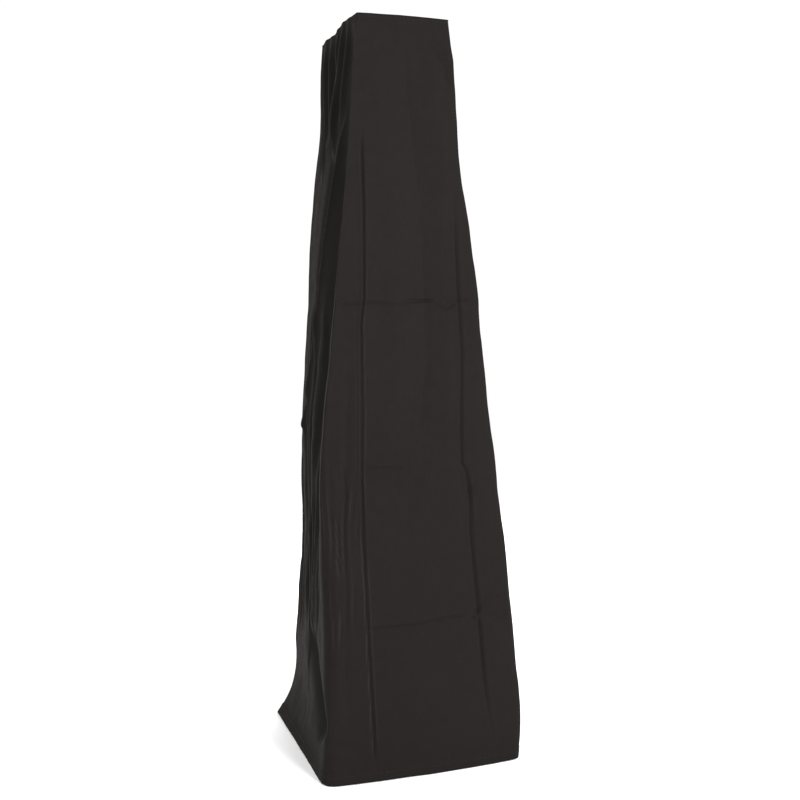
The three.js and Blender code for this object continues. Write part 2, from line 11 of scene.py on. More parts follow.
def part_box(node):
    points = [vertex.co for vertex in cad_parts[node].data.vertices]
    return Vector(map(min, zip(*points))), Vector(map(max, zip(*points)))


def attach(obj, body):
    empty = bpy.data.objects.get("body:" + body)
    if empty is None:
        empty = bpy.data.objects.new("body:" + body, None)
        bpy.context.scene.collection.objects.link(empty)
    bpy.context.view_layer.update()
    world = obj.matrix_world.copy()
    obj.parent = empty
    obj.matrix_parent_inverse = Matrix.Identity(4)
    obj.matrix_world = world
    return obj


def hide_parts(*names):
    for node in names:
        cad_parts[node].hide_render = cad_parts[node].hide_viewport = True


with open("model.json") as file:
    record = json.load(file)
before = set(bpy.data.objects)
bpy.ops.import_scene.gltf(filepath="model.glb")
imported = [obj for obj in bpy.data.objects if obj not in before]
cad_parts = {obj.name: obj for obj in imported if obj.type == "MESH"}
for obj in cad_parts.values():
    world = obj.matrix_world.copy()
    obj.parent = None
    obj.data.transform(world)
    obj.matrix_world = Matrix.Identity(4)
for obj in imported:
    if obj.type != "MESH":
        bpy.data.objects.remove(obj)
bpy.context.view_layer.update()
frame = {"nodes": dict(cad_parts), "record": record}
scene = bpy.context.scene


def add_object(name, data):
    made = bpy.data.objects.new(name, data)
    scene.collection.objects.link(made)
    return made


def tube_frame(run, closed, across):
    """Two directions across a run of points, at each point."""
    if closed:
        tangent = np.roll(run, -1, 0) - np.roll(run, 1, 0)
    else:
        tangent = np.gradient(run, axis=0)
    tangent /= np.linalg.norm(tangent, axis=1, keepdims=True)
    side = np.cross(tangent, across)
    side /= np.linalg.norm(side, axis=1, keepdims=True)
    return side, np.cross(side, tangent)


def tubes(name, runs, radii, sides, material, across=(0, 0, 1), closed=False):
    """One mesh of tubes along runs of points, with a radius for each point of a run."""
    turns = np.linspace(0, 2 * math.pi, sides, endpoint=False)[None, :, None]
    points, faces = [], []
    for run in runs:
        side, up = tube_frame(run, closed, across)
        spokes = np.cos(turns) * side[:, None, :] + np.sin(turns) * up[:, None, :]
        rings = run[:, None, :] + np.array(radii)[:, None, None] * spokes
        first, count = len(points), len(run)
        points += rings.reshape(-1, 3).tolist()
        for i in range(count if closed else count - 1):
            here, there = first + i * sides, first + ((i + 1) % count) * sides
            for k in range(sides):
                m = (k + 1) % sides
                faces.append((here + k, there + k, there + m, here + m))
        if not closed:
            faces.append(tuple(reversed(range(first, first + sides))))
            faces.append(tuple(range(first + (count - 1) * sides, first + count * sides)))
    mesh = bpy.data.meshes.new(name)
    mesh.from_pydata(points, [], faces)
    mesh.polygons.foreach_set("use_smooth", [True] * len(mesh.polygons))
    made = add_object(name, mesh)
    made.data.materials.append(material)
    return made


# ------------------------------------------------------------------ camera

CAMERA_AT = (-0.938, -2.824, 1.212)
CAMERA_YAW = 0.3326  # turned from +Y towards +X, in radians
CAMERA_PITCH = -0.0424
CAMERA_ROLL = -0.0086
SENSOR_MM = 36
LENS_MM = 41.7


def make_camera():
    data = bpy.data.cameras.new("camera")
    data.sensor_width = SENSOR_MM
    data.lens = LENS_MM
    camera = add_object("camera", data)
    aim = Euler((math.pi / 2 + CAMERA_PITCH, 0, -CAMERA_YAW)).to_matrix()
    turned = aim @ Matrix.Rotation(CAMERA_ROLL, 3, "Z")
    camera.matrix_world = Matrix.Translation(CAMERA_AT) @ turned.to_4x4()
    scene.camera = camera


make_camera()

# ------------------------------------------------------------------ finishes

SHARP_EDGE = (0.54, 0.62)  # the pointiness from which a finish begins to wear, and where it is worn


class Finish:
    """A node material, with short calls for the nodes that the finishes share."""

    def __init__(self, name, colour, roughness, metallic=0.0):
        self.material = bpy.data.materials.new(name)
        self.material.use_nodes = True
        self.tree = self.material.node_tree
        self.shader = self.tree.nodes["Principled BSDF"]
        self.set("Base Color", (*colour, 1))
        self.set("Roughness", roughness)
        self.set("Metallic", metallic)
        self.material.diffuse_color = (*colour, 1)

    def set(self, socket, value):
        self.shader.inputs[socket].default_value = value

    def node(self, kind, **values):
        made = self.tree.nodes.new(kind)
        for key, value in values.items():
            setattr(made, key, value)
        return made

    def link(self, source, target):
        self.tree.links.new(source, target)

    def place(self, stretch):
        """Where a point of the piece is, in metres, squeezed along each axis."""
        coordinates = self.node("ShaderNodeTexCoord")
        mapping = self.node("ShaderNodeMapping")
        mapping.inputs["Scale"].default_value = stretch
        self.link(coordinates.outputs["Object"], mapping.inputs["Vector"])
        return mapping.outputs["Vector"]

    def noise(self, scale, detail=3.0, stretch=(1, 1, 1)):
        made = self.node("ShaderNodeTexNoise")
        made.inputs["Scale"].default_value = scale
        made.inputs["Detail"].default_value = detail
        self.link(self.place(stretch), made.inputs["Vector"])
        return made.outputs["Fac"]

    def cells(self, scale, output="Color"):
        made = self.node("ShaderNodeTexVoronoi")
        made.inputs["Scale"].default_value = scale
        self.link(self.place((1, 1, 1)), made.inputs["Vector"])
        return made.outputs[output]

    def math(self, operation, first, second):
        made = self.node("ShaderNodeMath", operation=operation)
        for socket, value in zip(made.inputs, (first, second)):
            if isinstance(value, (int, float)):
                socket.default_value = value
            else:
                self.link(value, socket)
        return made.outputs[0]

    def spread(self, source, low, high, start=0.3, end=0.7):
        """The source's values from start to end, spread over low to high."""
        made = self.node("ShaderNodeMapRange")
        made.inputs["From Min"].default_value = start
        made.inputs["From Max"].default_value = end
        made.inputs["To Min"].default_value = low
        made.inputs["To Max"].default_value = high
        self.link(source, made.inputs["Value"])
        return made.outputs["Result"]

    def blend(self, share, first, second):
        """A colour between two, each a colour or another node's output."""
        made = self.node("ShaderNodeMix", data_type="RGBA")
        self.link(share, made.inputs["Factor"])
        for socket, value in ((made.inputs[6], first), (made.inputs[7], second)):
            if isinstance(value, tuple):
                socket.default_value = (*value, 1)
            else:
                self.link(value, socket)
        return made.outputs[2]

    def colour(self, output):
        self.link(output, self.shader.inputs["Base Color"])

    def rough(self, output):
        self.link(output, self.shader.inputs["Roughness"])

    def bump(self, height, distance, strength=1.0, under=None):
        """A relief of that many metres, over another one if it is given."""
        made = self.node("ShaderNodeBump")
        made.inputs["Distance"].default_value = distance
        made.inputs["Strength"].default_value = strength
        self.link(height, made.inputs["Height"])
        if under is not None:
            self.link(under, made.inputs["Normal"])
        self.link(made.outputs["Normal"], self.shader.inputs["Normal"])
        return made.outputs["Normal"]

    def edges(self):
        """One on sharp outer edges, where a finish wears, and zero elsewhere."""
        geometry = self.node("ShaderNodeNewGeometry")
        return self.spread(geometry.outputs["Pointiness"], 0, 1, *SHARP_EDGE)


WEAVE_PITCH = 0.0012
WAVE_BAND = 0.314  # the width of one band of the wave texture at scale one
CLOTH_DARK = (0.0082, 0.0069, 0.0066)
CLOTH_PALE = (0.0100, 0.0085, 0.0081)
CLOTH_RIDGE_HIGHLIGHT = (0.022, 0.019, 0.018)  # painted highlight on sharp ridges
CLOTH_VALLEY_SHADE = (0.0038, 0.0032, 0.0031)  # painted shade in tight valleys


def make_cover_cloth():
    made = Finish("cover_cloth", CLOTH_DARK, 0.72)
    made.set("Specular IOR Level", 0.02)
    made.set("Sheen Weight", 0.03)
    made.set("Sheen Roughness", 0.4)
    made.set("Sheen Tint", (0.9, 0.88, 0.86, 1))
    weave = made.node("ShaderNodeUVMap", uv_map="weave")
    threads = []
    for direction in ("X", "Y"):
        wave = made.node("ShaderNodeTexWave", bands_direction=direction)
        wave.inputs["Scale"].default_value = WAVE_BAND / WEAVE_PITCH
        wave.inputs["Distortion"].default_value = 0.4
        wave.inputs["Detail"].default_value = 1
        made.link(weave.outputs["UV"], wave.inputs["Vector"])
        threads.append(wave.outputs["Fac"])
    cloth = made.math("MULTIPLY", threads[0], threads[1])
    patches = made.spread(made.noise(3, 2), 0.2, 0.6)
    slubs = made.spread(made.noise(260, 2, (1, 1, 0.12)), -0.2, 0.2)
    shade = made.math("ADD", patches, slubs)
    shade = made.math("ADD", shade, made.math("MULTIPLY", cloth, 0.35))
    tone = made.blend(shade, CLOTH_DARK, CLOTH_PALE)
    fold = made.node("ShaderNodeAttribute", attribute_name="fold")
    # Painted highlight: the cloth's sharp ridges, read from the fold attribute, are lightened
    wear_and_highlight = made.spread(fold.outputs["Fac"], 0, 0.5, 0.35, 1.0)
    # Painted shade: the cloth's tight valleys, read from the fold attribute, are darkened
    valley_shade = made.spread(fold.outputs["Fac"], 0.7, 0, -1.0, -0.25)
    made.colour(made.blend(valley_shade, made.blend(wear_and_highlight, tone, CLOTH_RIDGE_HIGHLIGHT), CLOTH_VALLEY_SHADE))
    made.rough(made.spread(made.noise(35, 3), 0.66, 0.80))
    rumple = made.bump(made.noise(60, 4), 0.0008, 0.5)
    made.bump(cloth, 0.00012, 0.7, rumple)
    return made.material


def make_thread():
    made = Finish("cover_thread", (0.012, 0.010, 0.010), 0.6)
    made.set("Specular IOR Level", 0.15)
    twist = made.noise(1800, 1, (1, 1, 2))
    made.colour(made.blend(twist, (0.009, 0.008, 0.0075), (0.017, 0.015, 0.014)))
    made.rough(made.spread(twist, 0.5, 0.7))
    made.bump(twist, 0.0001)
    return made.material


def make_black_steel():
    made = Finish("black_steel", (0.008, 0.008, 0.009), 0.42)
    made.set("Specular IOR Level", 0.12)
    tone = made.blend(made.noise(7), (0.006, 0.006, 0.0065), (0.011, 0.011, 0.012))
    wear_and_highlight = made.math("MULTIPLY", made.edges(), made.spread(made.noise(90, 4), 0, 0.5))
    made.colour(made.blend(wear_and_highlight, tone, (0.06, 0.06, 0.062)))
    made.rough(made.spread(made.noise(25, 4), 0.36, 0.52))
    made.bump(made.noise(620, 2), 0.00012, 0.5)
    return made.material


def make_stainless():
    made = Finish("stainless", (0.22, 0.22, 0.23), 0.3, 1.0)
    made.set("Anisotropic", 0.35)
    grain = made.noise(900, 3, (1, 1, 0.012))
    smear = made.noise(9, 4)
    made.colour(made.blend(grain, (0.17, 0.17, 0.175), (0.27, 0.27, 0.28)))
    made.rough(made.math("ADD", made.spread(grain, 0.18, 0.30), made.spread(smear, 0, 0.12)))
    made.bump(grain, 0.00003, 0.6)
    return made.material


def make_galvanised():
    made = Finish("galvanised", (0.27, 0.28, 0.29), 0.45, 0.9)
    spangle = made.cells(230)
    made.colour(made.blend(spangle, (0.21, 0.22, 0.23), (0.35, 0.36, 0.37)))
    made.rough(made.spread(spangle, 0.34, 0.58, 0, 1))
    made.bump(made.noise(300), 0.00006, 0.5)
    return made.material


def make_chrome_wire():
    made = Finish("chrome_wire", (0.24, 0.24, 0.25), 0.12, 1.0)
    smear = made.noise(40, 4)
    made.colour(made.blend(smear, (0.19, 0.19, 0.20), (0.28, 0.28, 0.29)))
    made.rough(made.spread(smear, 0.07, 0.22))
    made.bump(made.noise(200, 2), 0.00003, 0.4)
    return made.material


def make_clear_glass():
    made = Finish("clear_glass", (0.94, 0.97, 0.97), 0.03)
    made.set("Transmission Weight", 1.0)
    made.set("IOR", 1.46)
    haze = made.noise(5, 2)
    made.colour(made.blend(haze, (0.92, 0.96, 0.96), (0.97, 0.98, 0.98)))
    made.rough(made.spread(haze, 0.0, 0.03, 0.45, 0.75))
    return made.material


def make_brass():
    made = Finish("brass", (0.45, 0.26, 0.05), 0.3, 1.0)
    tarnish = made.noise(60, 4)
    made.colour(made.blend(tarnish, (0.34, 0.19, 0.04), (0.52, 0.32, 0.08)))
    made.rough(made.spread(tarnish, 0.22, 0.42))
    made.bump(made.noise(900, 2, (1, 0.05, 1)), 0.00003, 0.5)
    return made.material


def make_black_rubber():
    made = Finish("black_rubber", (0.010, 0.010, 0.010), 0.68)
    dust = made.spread(made.noise(45, 4), 0, 1)
    made.colour(made.blend(dust, (0.008, 0.008, 0.008), (0.020, 0.019, 0.018)))
    made.rough(made.spread(made.noise(120), 0.58, 0.80))
    made.bump(made.noise(700), 0.0001, 0.5)
    return made.material


def make_silicone():
    made = Finish("silicone", (0.022, 0.022, 0.024), 0.45)
    tone = made.noise(50)
    made.colour(made.blend(tone, (0.018, 0.018, 0.020), (0.028, 0.028, 0.031)))
    made.rough(made.spread(tone, 0.38, 0.55))
    made.bump(made.noise(400, 2), 0.00005, 0.5)
    return made.material


def make_black_plastic():
    made = Finish("black_plastic", (0.008, 0.008, 0.008), 0.45)
    tone = made.noise(30)
    made.colour(made.blend(tone, (0.006, 0.006, 0.006), (0.013, 0.013, 0.013)))
    made.rough(made.spread(tone, 0.38, 0.54))
    made.bump(made.cells(1500, "Distance"), 0.00006, 0.6)
    return made.material


def make_red_plastic():
    made = Finish("red_plastic", (0.36, 0.02, 0.012), 0.2)
    made.set("Coat Weight", 0.3)
    tone = made.noise(60)
    made.colour(made.blend(tone, (0.31, 0.016, 0.010), (0.40, 0.026, 0.016)))
    made.rough(made.spread(tone, 0.15, 0.30))
    made.bump(made.noise(300, 2), 0.00003, 0.4)
    return made.material


def make_cylinder_paint():
    made = Finish("cylinder_paint", (0.16, 0.19, 0.21), 0.35)
    made.set("Coat Weight", 0.5)
    made.set("Coat Roughness", 0.12)
    tone = made.blend(made.noise(6, 4), (0.14, 0.17, 0.19), (0.18, 0.21, 0.23))
    rub = made.noise(34, 6, (1, 1, 0.35))
    scuffs = made.spread(rub, 0, 0.7, 0.60, 0.72)
    made.colour(made.blend(scuffs, tone, (0.30, 0.31, 0.31)))
    made.rough(made.spread(rub, 0.28, 0.5, 0.4, 0.7))
    made.bump(made.noise(240, 2), 0.00015, 0.4)
    return made.material


def make_ceramic():
    made = Finish("ceramic", (0.80, 0.76, 0.68), 0.2)
    made.set("Coat Weight", 0.5)
    speck = made.spread(made.noise(500), 0, 1, 0.55, 0.7)
    made.colour(made.blend(speck, (0.80, 0.76, 0.68), (0.70, 0.65, 0.56)))
    made.rough(made.spread(speck, 0.16, 0.3, 0, 1))
    made.bump(made.noise(350, 2), 0.00004, 0.4)
    return made.material


FINISHES = {
    "cover_cloth": make_cover_cloth(),
    "black_steel": make_black_steel(),
    "stainless": make_stainless(),
    "galvanised": make_galvanised(),
    "chrome_wire": make_chrome_wire(),
    "clear_glass": make_clear_glass(),
    "brass": make_brass(),
    "black_rubber": make_black_rubber(),
    "silicone": make_silicone(),
    "black_plastic": make_black_plastic(),
    "red_plastic": make_red_plastic(),
    "cylinder_paint": make_cylinder_paint(),
    "ceramic": make_ceramic(),
}


def finish_cad_nodes():
    for part in frame["record"]["subparts"]:
        node = frame["nodes"][part["node"]]
        node.data.materials.clear()
        node.data.materials.append(FINISHES[part["material_slot"]])


finish_cad_nodes()

# ------------------------------------------------------------------ gas hose

HOSE_RADIUS = 0.006
HOSE_ROUTE = [
    (-0.0424, -0.078, 0.600),
    (-0.054, -0.078, 0.600),
    (-0.072, -0.086, 0.597),
    (-0.101, -0.118, 0.575),
    (-0.117, -0.160, 0.515),
    (-0.104, -0.182, 0.448),
    (-0.068, -0.190, 0.415),
    (-0.032, -0.190, 0.448),
    (-0.020, -0.186, 0.520),
    (-0.026, -0.180, 0.600),
    (-0.052, -0.174, 0.690),
    (-0.074, -0.1713, 0.765),
    (-0.074, -0.1713, 0.801),
]
HOSE_STEPS = 8  # between two points of the route
HOSE_SIDES = 16
HOSE_ACROSS = (0.3, 1, 0.2)  # a direction that the hose never runs in


def through(points):
    """A smooth line through the points, with even steps between each two."""
    places = np.array(points)
    padded = np.vstack([2 * places[0] - places[1], places, 2 * places[-1] - places[-2]])
    line = []
    for a, b, c, d in zip(padded, padded[1:], padded[2:], padded[3:]):
        for t in np.arange(HOSE_STEPS) / HOSE_STEPS:
            bend = (2 * a - 5 * b + 4 * c - d) * t**2 + (3 * b - a - 3 * c + d) * t**3
            line.append(b + ((c - a) * t + bend) / 2)
    return np.array([*line, places[-1]])


def make_hose():
    line = through(HOSE_ROUTE)
    radii = [HOSE_RADIUS] * len(line)
    hose = tubes("gas_hose_line", [line], radii, HOSE_SIDES, FINISHES["black_rubber"], HOSE_ACROSS)
    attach(hose, "heater")
    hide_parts("gas_hose")


make_hose()

# ------------------------------------------------------------------ the cover's outline

COVER_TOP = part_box("cover_top_panel")[1].z
TOP_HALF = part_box("cover_top_panel")[1].x
HEM_HALF = 0.308
TAPER = (HEM_HALF - TOP_HALF) / COVER_TOP
HEM_LOW = 0.0015
HEM_HIGH = 0.032
STITCH_Z = 0.025
PACKING_LEVELS = (0.435, 0.895, 1.382)
ROWS = 380
ROW_BAND = 0.022  # half the height of a band with closer rows
ROW_CROWDING = 4.5
SIDE_COLUMNS = {"front": 110, "right": 60, "back": 60, "left": 84}
COLUMN_BAND = 0.03  # half the width of a band with closer columns, as a share of the side
COLUMN_CROWDING = 5
CORNER_COLUMNS = 10
SIDES = ("front", "right", "back", "left")
FACES = {"front": (0, -1), "right": (1, 0), "back": (0, 1), "left": (-1, 0)}
CORNERS = {
    "front_left": (-1, -1),
    "front_right": (1, -1),
    "back_right": (1, 1),
    "back_left": (-1, 1),
}
SIDE_ENDS = {
    "front": ("front_left", "front_right"),
    "right": ("front_right", "back_right"),
    "back": ("back_right", "back_left"),
    "left": ("back_left", "front_left"),
}

# How far each corner hangs outside the straight taper, as (height, distance) along X and along Y.
STRAY_X = {
    "front_left": [
        (0, 0),
        (0.2, 0.002),
        (0.45, 0.012),
        (0.70, 0.028),
        (0.88, 0.036),
        (1.05, 0.033),
        (1.2, 0.025),
        (1.4, 0.018),
        (1.6, 0.011),
        (1.8, 0.004),
        (2.05, -0.004),
        (2.24, -0.013),
    ],
    "front_right": [
        (0, -0.004),
        (0.05, 0.006),
        (0.14, 0.017),
        (0.3, 0.023),
        (0.5, 0.027),
        (0.78, 0.019),
        (1.0, 0.010),
        (1.35, 0.011),
        (1.6, 0.004),
        (1.8, -0.003),
        (2.0, 0.001),
        (2.12, 0.003),
        (2.24, -0.001),
    ],
    "back_right": [(0, 0), (0.2, 0.008), (0.7, 0.004), (1.2, -0.012), (1.8, -0.006), (2.24, 0)],
    "back_left": [
        (0, 0.010),
        (0.05, -0.016),
        (0.11, -0.033),
        (0.3, -0.031),
        (0.6, -0.033),
        (0.74, -0.027),
        (0.85, -0.016),
        (1.0, -0.003),
        (1.2, 0.001),
        (1.4, 0.006),
        (1.6, 0.012),
        (1.85, 0.008),
        (1.95, 0.003),
        (2.05, 0.008),
        (2.15, 0.015),
        (2.24, 0.016),
    ],
}
STRAY_Y = {
    "front_left": [
        (0, 0.004),
        (0.2, 0.004),
        (0.5, -0.006),
        (0.85, -0.030),
        (1.05, -0.022),
        (1.3, -0.012),
        (1.6, -0.003),
        (2.24, 0.002),
    ],
    "front_right": [
        (0, 0.018),
        (0.15, 0.014),
        (0.4, 0.006),
        (0.9, 0.004),
        (1.6, -0.004),
        (2.24, -0.004),
    ],
    "back_right": [(0, 0), (0.3, 0.006), (0.9, -0.006), (1.6, -0.004), (2.24, 0)],
    "back_left": [(0, 0.002), (0.15, -0.01), (0.6, -0.012), (1.2, -0.008), (2.24, -0.002)],
}
# How far from the corner each side starts to turn.
CORNER_REACH = {
    "front_left": [
        (0, 0.045),
        (0.12, 0.038),
        (0.40, 0.050),
        (0.60, 0.055),
        (0.75, 0.028),
        (0.95, 0.014),
        (1.7, 0.010),
        (2.24, 0.008),
    ],
    "front_right": [(0, 0.034), (0.1, 0.026), (0.4, 0.03), (1.0, 0.02), (1.7, 0.014), (2.24, 0.008)],
    "back_right": [(0, 0.025), (0.5, 0.035), (1.2, 0.05), (1.8, 0.02), (2.24, 0.01)],
    "back_left": [(0, 0.018), (0.2, 0.03), (0.8, 0.04), (1.5, 0.03), (2.0, 0.02), (2.24, 0.012)],
}
# How far the top edge rises above the heater's top, by the share of each side from its start.
TOP_EDGE = {
    "front": [(0, 0), (0.15, 0.003), (0.45, 0.007), (0.8, 0.011), (1, 0.012)],
    "right": [(0, 0.012), (0.2, 0.004), (0.6, 0.001), (1, 0.003)],
    "back": [(0, 0.003), (0.4, -0.002), (0.8, 0.001), (1, -0.005)],
    "left": [(0, -0.005), (0.12, 0), (0.38, -0.006), (0.66, 0.006), (0.85, 0.003), (1, 0)],
}


def along(points, where):
    """A smooth curve through (place, value) points, read at each place asked for."""
    places = np.array([p for p, _ in points], float)
    values = np.array([v for _, v in points], float)
    slopes = np.gradient(values, places)
    where = np.clip(where, places[0], places[-1])
    i = np.clip(np.searchsorted(places, where) - 1, 0, len(places) - 2)
    step = places[i + 1] - places[i]
    t = (where - places[i]) / step
    a, b = values[i], values[i + 1]
    from_a = (2 * t + 1) * (1 - t) ** 2 * a + t * (1 - t) ** 2 * step * slopes[i]
    from_b = (3 - 2 * t) * t**2 * b - (1 - t) * t**2 * step * slopes[i + 1]
    return from_a + from_b


def smooth(value, start, end):
    """Zero before start, one after end, and a smooth rise between them."""
    t = np.clip((value - start) / (end - start), 0, 1)
    return t * t * (3 - 2 * t)


def window(value, low, high, soft):
    """One between low and high, zero outside, with soft ends."""
    return smooth(value, low, low + soft) * (1 - smooth(value, high - soft, high))


def hump(distance, width):
    return np.exp(-((distance / width) ** 2))


def crease(distance, width):
    return np.exp(-np.abs(distance) / width)


def ripple(u, v, size, seed):
    """Smooth noise from -1 to 1 over a surface, with patches of about that size."""
    lattice = np.random.default_rng(seed).uniform(-1, 1, (97, 97))
    a, b = (u / size) % 96, (v / size) % 96
    i, j = np.floor(a).astype(int), np.floor(b).astype(int)
    s, t = smooth(a - i, 0, 1), smooth(b - j, 0, 1)
    low = lattice[i, j] * (1 - s) + lattice[i + 1, j] * s
    high = lattice[i, j + 1] * (1 - s) + lattice[i + 1, j + 1] * s
    return low * (1 - t) + high * t


def row_heights():
    """Rows of the mesh, closer together where the cloth has fine shapes."""
    z = np.linspace(HEM_LOW, COVER_TOP, 6000)
    density = 1 + 4 * hump(z - 0.02, ROW_BAND) + 5 * hump(z - COVER_TOP, 0.012)
    for level in PACKING_LEVELS:
        density += ROW_CROWDING * hump(z - level, ROW_BAND)
    share = np.cumsum(density)
    return np.interp(np.linspace(share[0], share[-1], ROWS), share, z)


def corner_line(corner, z):
    """Where one corner of the cover is at each height."""
    sx, sy = CORNERS[corner]
    half = HEM_HALF - TAPER * z
    x = sx * (half + along(STRAY_X[corner], z))
    y = sy * (half + along(STRAY_Y[corner], z))
    return np.stack([x, y], -1)


def side_shares(side, z):
    """Where each row's columns stand along a side, from zero to one: closer at its long creases."""
    even = np.linspace(0, 1, 500)
    half = (HEM_HALF - TAPER * z)[:, None]
    density = np.ones((len(z), len(even)))
    for line in CROWDED.get(side, ()):
        places, heights = np.array(line[::-1]).T
        share = (half + np.interp(z, heights, places)[:, None]) / (2 * half)
        density += COLUMN_CROWDING * hump(even - share, COLUMN_BAND)
    reached = np.cumsum(density, 1)
    reached = (reached - reached[:, :1]) / (reached[:, -1:] - reached[:, :1])
    wanted = np.arange(SIDE_COLUMNS[side]) / SIDE_COLUMNS[side]
    return np.array([np.interp(wanted, row, even) for row in reached])


def outline(z):
    """The cover's outline at each height, and how far each column rises at the top edge."""
    columns, rises = [], []
    for k, side in enumerate(SIDES):
        start, end = SIDE_ENDS[side]
        a, b = corner_line(start, z), corner_line(end, z)
        before = corner_line(SIDE_ENDS[SIDES[k - 1]][0], z)
        onward = (b - a) / np.linalg.norm(b - a, axis=1, keepdims=True)
        inward = (a - before) / np.linalg.norm(a - before, axis=1, keepdims=True)
        reach = along(CORNER_REACH[start], z)[:, None]
        end_reach = along(CORNER_REACH[end], z)[:, None]
        for t in np.arange(CORNER_COLUMNS) / CORNER_COLUMNS:
            turn = t**2 * onward - (1 - t) ** 2 * inward
            columns.append(a + reach * turn)
            rises.append(TOP_EDGE[side][0][1])
        for t in side_shares(side, z).T[..., None]:
            columns.append((a + onward * reach) * (1 - t) + (b - onward * end_reach) * t)
            rises.append(float(along(TOP_EDGE[side], t[-1, 0])))
    return np.stack(columns, 1), np.array(rises)


# ------------------------------------------------------------------ the cover's folds

# Long pressed creases of the front, as (across, height).
FRONT_LEFT_CREASE = [
    (-0.138, 1.92),
    (-0.138, 1.68),
    (-0.142, 1.40),
    (-0.153, 1.32),
    (-0.154, 1.10),
    (-0.164, 0.69),
    (-0.160, 0.29),
    (-0.156, 0.02),
]
FRONT_RIGHT_CREASE = [
    (0.150, 1.80),
    (0.156, 1.40),
    (0.161, 1.24),
    (0.151, 1.00),
    (0.150, 0.90),
    (0.164, 0.875),
    (0.173, 0.79),
    (0.171, 0.68),
    (0.183, 0.49),
    (0.197, 0.21),
    (0.207, 0.13),
    (0.213, 0.02),
]
FRONT_MIDDLE_FOLD = [
    (-0.018, 2.22),
    (0.009, 2.09),
    (0.030, 1.86),
    (0.050, 1.60),
    (0.048, 1.17),
    (0.024, 1.03),
    (0.040, 0.90),
]
FRONT_HIGH_CREASE = [
    (-0.235, 1.372),
    (-0.142, 1.384),
    (-0.034, 1.384),
    (0.062, 1.393),
    (0.116, 1.363),
    (0.156, 1.395),
    (0.215, 1.400),
]
FRONT_LOW_CREASE = [(-0.185, 0.433), (-0.080, 0.430), (0, 0.432), (0.094, 0.443), (0.165, 0.440)]
# Every crease of a side: its points, depth, width, and the length over which each end fades.
FRONT_CREASES = [
    (FRONT_LEFT_CREASE, 0.0050, 0.0026, 0.12),
    (FRONT_RIGHT_CREASE, 0.0040, 0.0036, 0.3),
    (FRONT_RIGHT_CREASE, 0.0030, 0.0140, 0.3),
    ([(-0.190, 1.30), (-0.208, 0.90), (-0.228, 0.50), (-0.236, 0.10)], 0.0026, 0.0060, 0.20),
    ([(-0.090, 1.396), (0.000, 1.393), (0.105, 1.392)], 0.0024, 0.0026, 0.04),
    (FRONT_MIDDLE_FOLD, 0.0095, 0.026, 0.20),
    (FRONT_HIGH_CREASE, 0.0034, 0.0026, 0.04),
    ([(0.018, 1.318), (0.075, 1.320), (0.125, 1.332)], 0.0032, 0.0026, 0.03),
    ([(-0.160, 0.897), (-0.100, 0.894), (-0.020, 0.892)], 0.0028, 0.0028, 0.03),
    (FRONT_LOW_CREASE, 0.0038, 0.0034, 0.05),
    ([(0.165, 0.440), (0.196, 0.475), (0.300, 0.508)], 0.0044, 0.0040, 0.02),
    ([(0.180, 0.445), (0.240, 0.432), (0.290, 0.430)], 0.0026, 0.007, 0.03),
    ([(0.064, 2.190), (0.110, 2.140), (0.138, 2.095), (0.152, 2.03)], 0.0075, 0.010, 0.04),
    ([(-0.290, 0.116), (-0.245, 0.110), (-0.200, 0.108)], 0.0042, 0.007, 0.02),
    ([(0.210, 0.150), (0.240, 0.172), (0.285, 0.165)], 0.0028, 0.010, 0.03),
    ([(0.165, 0.860), (0.178, 0.835), (0.166, 0.800), (0.160, 0.770)], 0.0030, 0.006, 0.02),
    ([(0.175, 0.470), (0.168, 0.440), (0.180, 0.405)], 0.0030, 0.005, 0.015),
]
BACK_CREASES = [
    ([(-0.150, 1.95), (-0.152, 1.30), (-0.160, 0.70), (-0.158, 0.02)], 0.0038, 0.018, 0.12),
    ([(0.150, 1.95), (0.160, 1.30), (0.158, 0.70), (0.168, 0.02)], 0.0038, 0.018, 0.12),
    ([(-0.21, 1.38), (-0.05, 1.39), (0.08, 1.375), (0.21, 1.385)], 0.0036, 0.008, 0.05),
    ([(-0.24, 0.90), (-0.08, 0.892), (0.10, 0.90), (0.24, 0.89)], 0.0036, 0.008, 0.05),
    ([(-0.27, 0.44), (-0.10, 0.435), (0.12, 0.43), (0.27, 0.44)], 0.0036, 0.008, 0.05),
    ([(-0.27, 0.66), (-0.14, 0.52), (0.00, 0.45)], 0.0050, 0.016, 0.06),
    ([(0.12, 2.18), (0.06, 2.08), (0.03, 1.96)], 0.0045, 0.014, 0.06),
]
RIGHT_CREASES = [
    ([(-0.150, 1.90), (-0.152, 1.30), (-0.160, 0.70), (-0.158, 0.02)], 0.0036, 0.018, 0.15),
    ([(0.146, 1.95), (0.155, 1.30), (0.160, 0.70), (0.160, 0.02)], 0.0036, 0.018, 0.12),
    ([(-0.20, 1.39), (0, 1.38), (0.21, 1.39)], 0.0036, 0.008, 0.05),
    ([(-0.24, 0.89), (0.02, 0.90), (0.24, 0.90)], 0.0034, 0.008, 0.05),
    ([(-0.27, 0.45), (0.00, 0.435), (0.27, 0.44)], 0.0036, 0.008, 0.05),
    ([(0.10, 2.20), (0.06, 1.95), (0.05, 1.60), (0.09, 1.20)], 0.0080, 0.028, 0.15),
    ([(-0.06, 2.20), (-0.05, 1.90), (-0.02, 1.55)], 0.0060, 0.020, 0.12),
]
# The left side's long gutter, as (height, place along Y).
GUTTER = [
    (0.60, -0.120),
    (0.85, -0.105),
    (1.00, -0.100),
    (1.20, -0.100),
    (1.40, -0.110),
    (1.60, -0.125),
    (1.80, -0.132),
    (2.00, -0.128),
    (2.24, -0.112),
]
# How deep the gutter is, as (height, depth).
GUTTER_DEPTH = [
    (0.55, 0),
    (0.75, 0.018),
    (0.95, 0.034),
    (1.40, 0.034),
    (1.70, 0.028),
    (1.90, 0.020),
    (2.10, 0.015),
    (2.24, 0.012),
]
